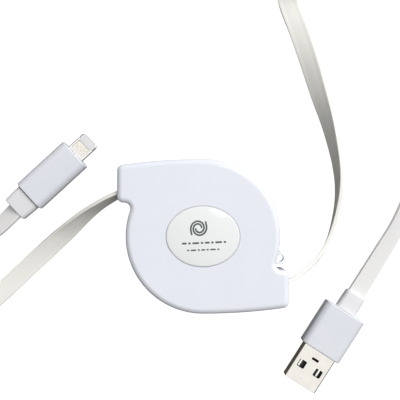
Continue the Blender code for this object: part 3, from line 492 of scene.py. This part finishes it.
# The lanyard eye: a ring of round section turned about its own upright hole.
def makeEye():
    centre = eyePoint()
    low, high = levels["lowerRim"] - eyeSize["tall"], levels["lowerRim"] - caseSize["gap"]
    inner, outer = eyeSize["hole"], eyeSize["hole"] + eyeSize["wall"]
    edge = eyeSize["edge"]
    turn = np.linspace(0, math.pi / 2, 6)
    corner = []
    right, left, under, over = outer - edge, inner + edge, low + edge, high - edge
    for x, z, flip in ((right, under, 3), (right, over, 0), (left, over, 1), (left, under, 2)):
        quarter = turn + flip * math.pi / 2
        corner += list(zip(x + edge * np.cos(quarter), z + edge * np.sin(quarter)))
    rings = [roundRing(centre, radius, height) for radius, height in corner]
    return loft("lanyardEye", rings, closed=True)


upperShell = makeUpperShell()
lowerShell = makeLowerShell()
lanyardEye = makeEye()
screwBosses = makeScrewBosses()
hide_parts("upper_case")
for piece in (lowerShell, lanyardEye, *screwBosses):
    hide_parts("lower_case")
for piece in (upperShell, lowerShell, lanyardEye, *screwBosses):
    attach(piece, "case")
evenNormals(upperShell, lowerShell)
print("case: two shells and the eye")


# Oval plate with a rounded rim and a shallow dome. Height falls off with the square of the share.
def makeBadge():
    b = badgeSize
    low = levels["top"] - b["recess"] + b["gap"]
    rim = low + b["rim"]
    rings = []
    angle = 2 * math.pi * np.arange(160) / 160
    rows = [(0.992, low), (1.0, low + 0.06), (1.0, rim - b["edge"])]
    for a in np.linspace(0.2, math.pi / 2, 6):
        rows.append((1 - b["edge"] * (1 - math.cos(a)) / 10, rim - b["edge"] + b["edge"] * math.sin(a)))
    for share in np.linspace(0.97, 0.04, 26):
        rows.append((share, rim + b["dome"] * (1 - share ** 2)))
    for share, height in rows:
        rings.append(np.column_stack([b["long"] * share * np.cos(angle), b["short"] * share * np.sin(angle),
                                      np.full(len(angle), height)]))
    return loft("domedBadge", rings, smoothAngle=50)


mark = {
    "middle": (-1.3, 2.8), "turns": 1.05, "inner": 0.95, "outer": 2.8, "line": 0.72, "lift": 0.012, "turn": 2.4,
}
dashes = {
    "upper": {"y": -2.05, "tall": 0.62, "from": -7.0, "gap": 0.5,
              "longs": (1.6, 0.8, 2.3, 0.8, 1.6, 0.8, 2.3, 0.8)},
    "lower": {"y": -4.35, "tall": 0.5, "from": -5.4, "gap": 0.45, "longs": (0.7, 1.9, 0.7, 1.3, 0.7, 1.9, 0.7)},
}


# Height of the badge's dome over a point, a hair above its surface.
def domeHeight(x, y):
    b = badgeSize
    share = np.clip((x / b["long"]) ** 2 + (y / b["short"]) ** 2, 0, 1)
    return levels["top"] - b["recess"] + b["gap"] + b["rim"] + b["dome"] * (1 - share)


# A printed line: a thin closed strip that follows the dome, widest in the middle of its run.
def inkLine(path, width):
    path = np.asarray(path, float)
    heading = np.gradient(path, axis=0)
    heading /= np.linalg.norm(heading, axis=1)[:, None]
    side = np.column_stack([-heading[:, 1], heading[:, 0]]) * np.asarray(width).reshape(-1, 1) / 2
    turn = math.radians(mark["turn"])
    c, s = math.cos(turn), math.sin(turn)
    rings = []
    for offset, lift in ((side, mark["lift"]), (-side, mark["lift"]), (-side, -0.05), (side, -0.05)):
        x, y = (path + offset).T
        x, y = c * x - s * y, s * x + c * y
        rings.append(np.column_stack([x, y, domeHeight(x, y) + lift]))
    return np.stack(rings, axis=1)


# A plain sign for a reel: a spiral whose two ends run out to either side, over rows of dashes.
def makeMark():
    m = mark
    lines = []
    angle = np.linspace(0, 2 * math.pi * m["turns"], 70)
    radius = m["inner"] + (m["outer"] - m["inner"]) * angle / angle[-1]
    for flip in (1, -1):
        arm = np.column_stack([np.cos(angle), np.sin(angle)]) * (radius * flip)[:, None]
        step = arm[-1] - arm[-2]
        tail = arm[-1] + np.linspace(0.05, 1.3, 8)[:, None] * step / np.linalg.norm(step)
        path = np.vstack([arm, tail]) * (0.95, 1.0) + m["middle"]
        lines.append((path, np.full(len(path), m["line"] * 0.8)))
    for row in dashes.values():
        starts = row["from"] + np.cumsum((0, *row["longs"][:-1])) + row["gap"] * np.arange(len(row["longs"]))
        for start, long in zip(starts, row["longs"]):
            x = np.linspace(start, start + long, 14)
            soft = np.sqrt(np.clip(1 - np.abs(np.linspace(-1, 1, 14)) ** 9, 0.02, 1))
            lines.append((np.column_stack([x, np.full(14, row["y"])]), row["tall"] * soft))
    points, faces, count = [], [], 0
    for path, width in lines:
        rings = inkLine(path, width)
        rows = len(rings)
        points.append(rings.reshape(-1, 3))
        faces.append(gridFaces(rows, 4) + count)
        faces.append(np.array([[3, 2, 1, 0]]) + count)
        faces.append(np.array([[0, 1, 2, 3]]) + count + (rows - 1) * 4)
        count += rows * 4
    piece = toMesh("printedMark", np.vstack(points), faces, 30)
    faceOut(piece)
    return piece


domedBadge = makeBadge()
printedMark = makeMark()
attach(printedMark, "case")
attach(domedBadge, "case")
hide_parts("badge")
print("badge")


phonePlug = {
    "x": -59.27, "y": 13.23, "turn": 42.6, "long": 21.3, "wide": 11.8, "tall": 6.4, "round": 2.5, "edge": 0.4,
}
chargerPlug = {
    "x": 48.41, "y": -25.85, "turn": -122.6, "long": 16.2, "wide": 14.7, "tall": 8.0, "round": 2.2, "edge": 0.45,
}
blade = {
    "out": 7.3, "wide": 6.8, "thick": 1.5, "held": 4.2, "corner": 1.1, "nose": 2.9, "window": 3.4, "rail": 0.72,
    "soft": 0.34, "windowCorner": 0.3,
}
shell = {
    "out": 12.9, "wide": 12.0, "tall": 4.5, "held": 6.0, "wall": 0.32, "corner": 0.5, "lead": 0.1,
    "window": (2.75, 2.65, 0.45), "windowBack": 6.3, "windowSide": 3.15,
    "slot": (0.9, 2.6, 0.3), "slotBack": 9.8,
}


# Points in a plug's own frame, turned and moved to where it lies.
def place(points, plug):
    turn = math.radians(plug["turn"])
    c, s = math.cos(turn), math.sin(turn)
    points = np.asarray(points, float)
    x, y, z = points[..., 0], points[..., 1], points[..., 2]
    return np.stack([plug["x"] + c * x - s * y, plug["y"] + s * x + c * y, plug["tall"] / 2 + z], axis=-1)


# An outline stood across a plug's length.
def standing(x, outline):
    return np.column_stack([np.full(len(outline), x), outline])


# An outline laid level, at one height in a plug's own frame.
def lying(outline, height):
    return np.column_stack([outline, np.full(len(outline), height)])


# A moulded block with rounded ends. Its mouth is sunk in at the front, round the metal.
def coverRings(plug, mouth):
    edge, radius = plug["edge"], plug["round"]
    turn = np.linspace(0, math.pi / 2, 8)
    rings = []
    ends = [(a, edge * (1 - math.cos(a))) for a in turn]
    ends += [(a, plug["long"] - x) for a, x in ends[::-1]]
    for a, x in ends:
        drop = edge * (1 - math.sin(a))
        outline = roundedOutline(plug["wide"] - 2 * drop, plug["tall"] - 2 * drop, max(radius - drop, 0.3))
        rings.append(standing(x, outline))
    hole = roundedOutline(mouth["wide"], mouth["tall"], mouth["round"])
    rings.append(standing(plug["long"], hole))
    rings.append(standing(plug["long"] - mouth["deep"], hole))
    return [place(ring, plug) for ring in rings]


# One plug's cover, over the CAD node that it stands for.
def makeCover(name, node, plug, mouth):
    piece = loft(name, coverRings(plug, mouth), smoothAngle=35)
    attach(piece, "case")
    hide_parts(node)
    return piece


# A moulded relief: it narrows a little towards the ribbon, by a power of the length, and its end is rounded.
def makeBoot(name, node, plug, boot):
    share = np.concatenate([np.linspace(0, boot["soft"] / boot["long"], 8), np.linspace(0.3, 1, 8)])
    taper = 0.95 + 0.05 * (1 - (1 - share) ** 2.2)
    rings = []
    for s, t in zip(share, taper):
        end = min(s * boot["long"] / boot["soft"], 1.0)
        pull = boot["soft"] * (1 - math.sqrt(1 - (1 - end) ** 2))
        wide, tall = boot["wide"] * t - 2 * pull, boot["tall"] * t - 2 * pull
        outline = roundedOutline(wide, tall, boot["round"] - pull * 0.5)
        rings.append(standing(-boot["long"] + s * (boot["long"] - 0.3), outline))
    piece = loft(name, [place(ring, plug) for ring in rings], smoothAngle=35)
    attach(piece, "case")
    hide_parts(node)
    return piece


phoneMouth = {"wide": 9.0, "tall": 3.6, "round": 1.1, "deep": 0.25}
chargerMouth = {"wide": 12.6, "tall": 5.1, "round": 0.8, "deep": 8.0}
phoneRelief = {"long": 6.7, "wide": 9.6, "tall": 4.6, "round": 1.4, "soft": 0.4}
chargerRelief = {"long": 7.1, "wide": 7.2, "tall": 5.0, "round": 1.4, "soft": 0.9}
phoneCover = makeCover("phoneCover", "phone_plug_cover", phonePlug, phoneMouth)
chargerCover = makeCover("chargerCover", "charger_plug_cover", chargerPlug, chargerMouth)
phoneBoot = makeBoot("phoneBoot", "phone_plug_boot", phonePlug, phoneRelief)
chargerBoot = makeBoot("chargerBoot", "charger_plug_boot", chargerPlug, chargerRelief)


# The blade from above: square at the back, round corners at the tip.
def plateOutline(width, length, corner, steps=10):
    turn = np.linspace(math.pi / 2, 0, steps)
    x, y = length - corner + corner * np.cos(turn), width / 2 - corner + corner * np.sin(turn)
    side = np.column_stack([x, y])
    top = np.vstack([[(0, width / 2)], side])
    return np.vstack([top, top[::-1] * (1, -1)])


# Metal blade with rounded edges and an open window for the contacts on both faces.
def makeBlade():
    b = blade
    back = phonePlug["long"] - b["held"]
    length = b["held"] + b["out"]
    rings = []
    soft = b["soft"]
    turn = np.linspace(0, math.pi / 2, 7)
    rows = [(soft * (1 - math.sin(a)), -b["thick"] / 2 + soft * (1 - math.cos(a))) for a in turn]
    rows += [(drop, -z) for drop, z in rows[::-1]]
    for drop, z in rows:
        flat = plateOutline(b["wide"] - 2 * drop, length - drop, b["corner"] - drop * 0.6)
        rings.append(lying(flat + (back, 0), z))
    piece = loft("blade", [place(ring, phonePlug) for ring in rings], smoothAngle=40)
    front = phonePlug["long"] + b["out"] - b["nose"]
    middle = front - b["window"] / 2
    outline = roundedOutline(b["window"], b["wide"] - 2 * b["rail"], b["windowCorner"]) + (middle, 0)
    cutWith(piece, loft("windowTool", [place(lying(outline, z), phonePlug) for z in (-2, 2)]))
    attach(piece, "case")
    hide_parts("phone_plug_blade")
    return piece


bladePiece = makeBlade()


# Folded steel sheet: an oblong tube with two windows in each broad side and a lock slot on top.
def makeShell():
    back = chargerPlug["long"] - shell["held"]
    tip = chargerPlug["long"] + shell["out"]
    outer = roundedOutline(shell["wide"], shell["tall"], shell["corner"])
    wide, tall, corner = shell["wide"], shell["tall"], shell["corner"]
    hollow, lead = 2 * shell["wall"], 0.16  # the tip's edges are eased by half of lead, in and out
    inner = roundedOutline(wide - hollow, tall - hollow, corner - shell["wall"] + 0.02)
    nearTip = roundedOutline(wide - lead, tall - lead, corner - 0.06)
    innerTip = roundedOutline(wide - hollow + lead, tall - hollow + lead, corner - shell["wall"] + 0.08)
    bend = tip - shell["lead"]
    rows = [(back, outer), (bend, outer), (tip, nearTip), (tip, innerTip), (bend, inner), (back, inner)]
    rings = [place(standing(x, outline), chargerPlug) for x, outline in rows]
    piece = loft("shellTube", rings, closed=True, smoothAngle=35)
    for side in (1, -1):
        window = roundedOutline(*shell["window"]) + (tip - shell["windowBack"], side * shell["windowSide"])
        cutWith(piece, loft("windowTool", [place(lying(window, z), chargerPlug) for z in (-4, 4)]))
    slot = roundedOutline(*shell["slot"]) + (tip - shell["slotBack"], 0)
    cutWith(piece, loft("slotTool", [place(lying(slot, z), chargerPlug) for z in (0, 4)]))
    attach(piece, "case")
    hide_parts("charger_plug_shell")
    return piece


shellTube = makeShell()
evenNormals(phoneCover, chargerCover, phoneBoot, chargerBoot, bladePiece, shellTube)


# One mesh of several thin slabs with round corners: each row gives middle, size and corner radius.
def roundedSlabs(name, slabs, plug, edge):
    points, faces, count = [], [], 0
    for (x, y, z), (long, wide, thick), corner in slabs:
        rows = [(edge, -thick / 2), (0.0, -thick / 2 + edge), (0.0, thick / 2 - edge), (edge, thick / 2)]
        rings = []
        for drop, lift in rows:
            outline = roundedOutline(long - 2 * drop, wide - 2 * drop, max(corner - drop, 0.02), 5)
            rings.append(place(lying(outline + (x, y), z + lift), plug))
        rings = np.stack(rings)
        columns = rings.shape[1]
        points.append(rings.reshape(-1, 3))
        faces.append(gridFaces(4, columns) + count)
        faces.append(np.arange(columns)[None, ::-1] + count)
        faces.append(np.arange(columns)[None, :] + count + 3 * columns)
        count += 4 * columns
    piece = toMesh(name, np.vstack(points), faces, 30)
    faceOut(piece)
    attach(piece, "case")
    return piece


pad = {
    "count": 8, "size": (2.4, 0.42, 0.2), "margin": 0.6, "corner": 0.18, "edge": 0.05,
    "carrierPlay": 0.1, "carrierSunk": 0.7,
}
pin = {"size": (7.4, 0.66, 0.2), "back": 1.0, "corner": 0.3, "edge": 0.05, "across": (-3.5, -1.0, 1.0, 3.5)}
tongue = {"thick": 1.9, "play": 0.3, "short": 2.3, "corner": 0.35, "edge": 0.18}
nosePad = {"size": (2.6, 6.5, 0.3), "corner": 1.25, "edge": 0.14, "back": 1.4, "proud": 0.13}


# Eight gold pads on each face of the blade, level with the metal, and the carrier between them.
def makePhoneContacts():
    b = blade
    front = phonePlug["long"] + b["out"] - b["nose"]
    middle = front - b["window"] / 2
    inside = b["wide"] - 2 * b["rail"]
    wide, thick = pad["size"][1:]
    pitch = (inside - pad["margin"] - wide) / (pad["count"] - 1)
    across = (np.arange(pad["count"]) - (pad["count"] - 1) / 2) * pitch
    made = []
    for face, side in (("Top", 1), ("Under", -1)):
        rows = [((middle, y, side * (b["thick"] - thick) / 2), pad["size"], pad["corner"]) for y in across]
        pads = roundedSlabs("contactPads" + face, rows, phonePlug, pad["edge"])
        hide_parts(*[f"phone_contact_{face.lower()}_{number}" for number in range(1, 9)])
        made.append(pads)
    size = (b["window"] - pad["carrierPlay"], inside - pad["carrierPlay"], b["thick"] - pad["carrierSunk"])
    carrier = roundedSlabs("contactCarrier", [((middle, 0, 0), size, 0.25)], phonePlug, 0.04)
    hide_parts("phone_plug_insert")
    return made, carrier


# Four gold strips with rounded tips on the tongue, and the tongue itself, whose black is partly painted shade
# for the dark inside the shell.
def makeChargerPins():
    tip = chargerPlug["long"] + shell["out"]
    floor = -shell["tall"] / 2 + shell["wall"] + tongue["play"]
    high = floor + tongue["thick"] + pin["size"][2]
    middle = tip - pin["back"] - pin["size"][0] / 2
    pins = roundedSlabs("chargerPins", [((middle, y, high), pin["size"], pin["corner"]) for y in pin["across"]],
                        chargerPlug, pin["edge"])
    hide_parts(*[f"charger_contact_{number}" for number in range(1, 5)])
    wide = shell["wide"] - 2 * (shell["wall"] + tongue["play"])
    long = shell["out"] + shell["held"] - tongue["short"]
    middle = (tip - tongue["play"] - long / 2, 0, floor + tongue["thick"] / 2)
    row = (middle, (long, wide, tongue["thick"]), tongue["corner"])
    slab = roundedSlabs("plugTongue", [row], chargerPlug, tongue["edge"])
    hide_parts("charger_plug_tongue")
    return pins, slab


# The blade's lead-in: a stamped pad with fully round ends, a hair proud of both faces.
def makeNose():
    middle = phonePlug["long"] + blade["out"] - nosePad["back"]
    lift = blade["thick"] / 2 + nosePad["proud"] - nosePad["size"][2] / 2
    rows = [((middle, 0, side * lift), nosePad["size"], nosePad["corner"]) for side in (1, -1)]
    nose = roundedSlabs("noseInlay", rows, phonePlug, nosePad["edge"])
    return nose


noseInlay = makeNose()
phonePads, contactCarrier = makePhoneContacts()
chargerPins, plugTongue = makeChargerPins()
print("plugs: covers, boots, blade, shell and contacts")


# An empty Principled material: its tree, its shader, and object coordinates for its patterns.
def newLook(name):
    look = bpy.data.materials.new(name)
    look.use_nodes = True
    tree = look.node_tree
    shader = tree.nodes["Principled BSDF"]
    where = addNode(tree, "ShaderNodeTexCoord").outputs["Object"]
    return look, tree, shader, where


# Noise scale for features of this many mm, for coordinates in metres.
def perMm(size):
    return 1000.0 / size


# Injection-moulded plastic: slight colour clouding, fine texture in the gloss, and flow waves.
def mouldedPlastic(name, base, tint, rough, grain, depth, coat=0.0):
    look, tree, shader, where = newLook(name)
    cloud = addNode(tree, "ShaderNodeTexNoise", {"Scale": perMm(9.0), "Detail": 3.0}, {"Vector": where})
    fineGrain = addNode(tree, "ShaderNodeTexNoise", {"Scale": perMm(grain), "Detail": 4.0}, {"Vector": where})
    wave = addNode(tree, "ShaderNodeTexNoise", {"Scale": perMm(5.0), "Detail": 1.0}, {"Vector": where})
    tones = ((0.3, linear(base)), (0.7, linear(tint)))
    colour = addNode(tree, "ShaderNodeValToRGB", {"stops": tones}, {0: cloud})
    shine = ((0.3, rough * 0.8), (0.7, rough * 1.25))
    gloss = addNode(tree, "ShaderNodeValToRGB", {"stops": shine}, {0: fineGrain})
    mix = addNode(tree, "ShaderNodeMath", {"operation": "MULTIPLY_ADD", 1: 0.12}, {0: fineGrain, 2: wave})
    bump = addNode(tree, "ShaderNodeBump", {"Strength": 0.6, "Distance": depth * mm}, {"Height": mix})
    tree.links.new(colour.outputs[0], shader.inputs["Base Color"])
    tree.links.new(gloss.outputs[0], shader.inputs["Roughness"])
    tree.links.new(bump.outputs[0], shader.inputs["Normal"])
    shader.inputs["Subsurface Weight"].default_value = 0.06
    shader.inputs["Subsurface Radius"].default_value = (0.4, 0.4, 0.45)
    shader.inputs["Subsurface Scale"].default_value = 0.9 * mm
    shader.inputs["Coat Weight"].default_value = coat
    shader.inputs["Coat Roughness"].default_value = 0.04
    return look


# Drawn or stamped metal: fine streaks along the part, and faint mottling of the finish.
def metal(name, base, rough, streak, tint=None):
    look, tree, shader, where = newLook(name)
    stretch = addNode(tree, "ShaderNodeMapping", {"Scale": streak}, {"Vector": where})
    lines = addNode(tree, "ShaderNodeTexNoise", {"Scale": perMm(0.35), "Detail": 3.0}, {"Vector": stretch})
    mottle = addNode(tree, "ShaderNodeTexNoise", {"Scale": perMm(3.0), "Detail": 3.0}, {"Vector": where})
    tones = ((0.3, linear(base)), (0.75, linear(tint or base)))
    colour = addNode(tree, "ShaderNodeValToRGB", {"stops": tones}, {0: mottle})
    shine = ((0.3, rough * 0.7), (0.7, rough * 1.35))
    gloss = addNode(tree, "ShaderNodeValToRGB", {"stops": shine}, {0: lines})
    bump = addNode(tree, "ShaderNodeBump", {"Strength": 0.35, "Distance": 0.02 * mm}, {"Height": lines})
    tree.links.new(colour.outputs[0], shader.inputs["Base Color"])
    tree.links.new(gloss.outputs[0], shader.inputs["Roughness"])
    tree.links.new(bump.outputs[0], shader.inputs["Normal"])
    shader.inputs["Metallic"].default_value = 1.0
    return look


# Glossy white ABS of the lid and tray: a cold white with sharp, slightly rippled reflections.
caseAbs = mouldedPlastic("mouldedAbs", "#E4E8F0", "#E6EAF2", 0.16, 0.6, 0.012, coat=0.35)
# Satin polycarbonate of the plug covers: a shade greyer, with soft reflections.
coverPc = mouldedPlastic("mouldedPolycarbonate", "#DBDFE6", "#DFE2E8", 0.24, 0.5, 0.02)
# Soft TPE of the reliefs: matt, with a fine skin.
bootTpe = mouldedPlastic("mouldedTpe", "#E1E2E5", "#E5E6E8", 0.42, 0.3, 0.03)
# Extruded TPE of the flat cable: a warm white with a dull sheen.
ribbonTpe = mouldedPlastic("extrudedTpe", "#EDEDE6", "#EFEFE9", 0.40, 0.35, 0.025)
# Slippery natural acetal of the spool, milky.
acetal = mouldedPlastic("mouldedAcetal", "#DEE0E2", "#E4E5E6", 0.35, 0.4, 0.02)
# Black glass-filled LCP of the tongue and its mould, dull. On the tongue this black is partly painted shade: it
# stands in for the dark inside the shell, seen through the windows.
blackTongueWithPaintedShade = mouldedPlastic("blackLcpPaintedShade", "#17181A", "#202225", 0.4, 0.3, 0.02)
# Cream LCP of the contact carriers, dull.
insertLcp = mouldedPlastic("mouldedLcp", "#FAF8F2", "#FBFAF5", 0.45, 0.3, 0.02)
# Green solder mask over FR4, half glossy.
boardFr4 = mouldedPlastic("lacqueredFr4", "#1E5A3C", "#24664A", 0.3, 0.3, 0.02)
# Black moulded epoxy of the chip, dull.
chipEpoxy = mouldedPlastic("mouldedEpoxy", "#1B1C1E", "#26272A", 0.45, 0.2, 0.02)
# Clear-coated acrylic of the badge: a neutral white that mirrors the light.
badgeAcrylic = mouldedPlastic("polishedAcrylic", "#EAEDED", "#ECEFEE", 0.06, 0.8, 0.004, coat=0.6)
# Dark grey pad-printed ink, with an even satin film.
printInk = mouldedPlastic("screenPrintedInk", "#4A5450", "#525B58", 0.35, 0.2, 0.004)


# Lets a ribbon's tone drift to another one along its length, by its own coordinate in cm.
def driftTone(look, colour, start, end):
    tree = look.node_tree
    shader = tree.nodes["Principled BSDF"]
    base = shader.inputs["Base Color"].links[0].from_socket
    along = addNode(tree, "ShaderNodeUVMap", {"uv_map": "along"})
    split = addNode(tree, "ShaderNodeSeparateXYZ", {}, {0: along}).outputs["Y"]
    share = addNode(tree, "ShaderNodeMapRange", {"From Min": start, "From Max": end}, {"Value": split})
    mix = addNode(tree, "ShaderNodeMix", {"data_type": "RGBA", 7: (*linear(colour), 1)}, {0: share, 6: base})
    tree.links.new(mix.outputs[2], shader.inputs["Base Color"])


driftTone(ribbonTpe, "#E9E9E8", 13, 21)
# Stamped sheet with bright nickel plating: a warm mirror, a little streaky.
shellSteel = metal("nickelPlatedSteel", "#F0EDE4", 0.16, (1, 1, 0.2), "#E9E6DD")
# Brushed stainless steel of the blade: a pale satin.
bladeSteel = metal("brushedStainless", "#F3F2EE", 0.24, (0.2, 1, 1), "#EDECE8")
# Ground stainless steel of the lead-in: a greyer satin.
noseSteel = metal("groundStainless", "#DCDDDE", 0.34, (1, 0.2, 1), "#D6D7D9")
# Rolled spring steel, bluish grey, streaked along its height.
springSteel = metal("rolledSpringSteel", "#A9ABB0", 0.28, (1, 1, 8), "#9C9EA6")
# Zinc plating on the screws, dull silver.
screwSteel = metal("zincPlatedSteel", "#C4C7CB", 0.3, (1, 1, 1), "#B4B8BE")
# Lapped bearing steel of the ball, a mirror.
ballSteel = metal("lappedSteel", "#C9CBCE", 0.1, (1, 1, 1))
# Thin gold flash over nickel on the contacts: pale, nearly white.
contactGold = metal("goldFlash", "#FFFCF2", 0.2, (1, 1, 1), "#FDF8EA")


# One look on every face of the pieces.
def dress(pieces, look):
    for piece in pieces:
        piece.data.materials.clear()
        piece.data.materials.append(look)


# Materials by piece, then by the start of a kept CAD node's name.
dress([upperShell, lowerShell, lanyardEye, *screwBosses], caseAbs)
dress([domedBadge], badgeAcrylic)
dress([printedMark], printInk)
dress([phoneCover, chargerCover], coverPc)
dress([phoneBoot, chargerBoot], bootTpe)
dress([phoneRibbon, chargerRibbon], ribbonTpe)
dress([shellTube], shellSteel)
dress([*phonePads, chargerPins], contactGold)
dress([contactCarrier], insertLcp)
dress([plugTongue], blackTongueWithPaintedShade)
dress([bladePiece], bladeSteel)
dress([noseInlay], noseSteel)
inner = {
    "case_screw": screwSteel, "spool": acetal, "main_spring": springSteel, "stop_ball": ballSteel,
    "wound_cable": ribbonTpe, "phone_lead": ribbonTpe, "charger_lead": ribbonTpe,
    "phone_plug_insert": insertLcp, "phone_plug_core": coverPc,
    "phone_plug_board": boardFr4, "phone_plug_chip": chipEpoxy,
    "phone_contact": contactGold, "charger_plug_tongue": blackTongueWithPaintedShade, "charger_plug_mould": blackTongueWithPaintedShade,
    "charger_contact": contactGold,
}
for name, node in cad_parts.items():
    found = [look for start, look in inner.items() if name.startswith(start)]
    for index in range(len(node.material_slots) if found else 0):
        node.material_slots[index].material = found[0]
print("materials:", len(bpy.data.materials))

phonePieces = [phoneCover, phoneBoot, bladePiece, noseInlay, *phonePads, contactCarrier]
phonePieces += [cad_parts[name] for name in ("phone_plug_core", "phone_plug_board", "phone_plug_chip")]
chargerPieces = [chargerCover, chargerBoot, shellTube, chargerPins, plugTongue]
chargerPieces += [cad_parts["charger_plug_mould"]]
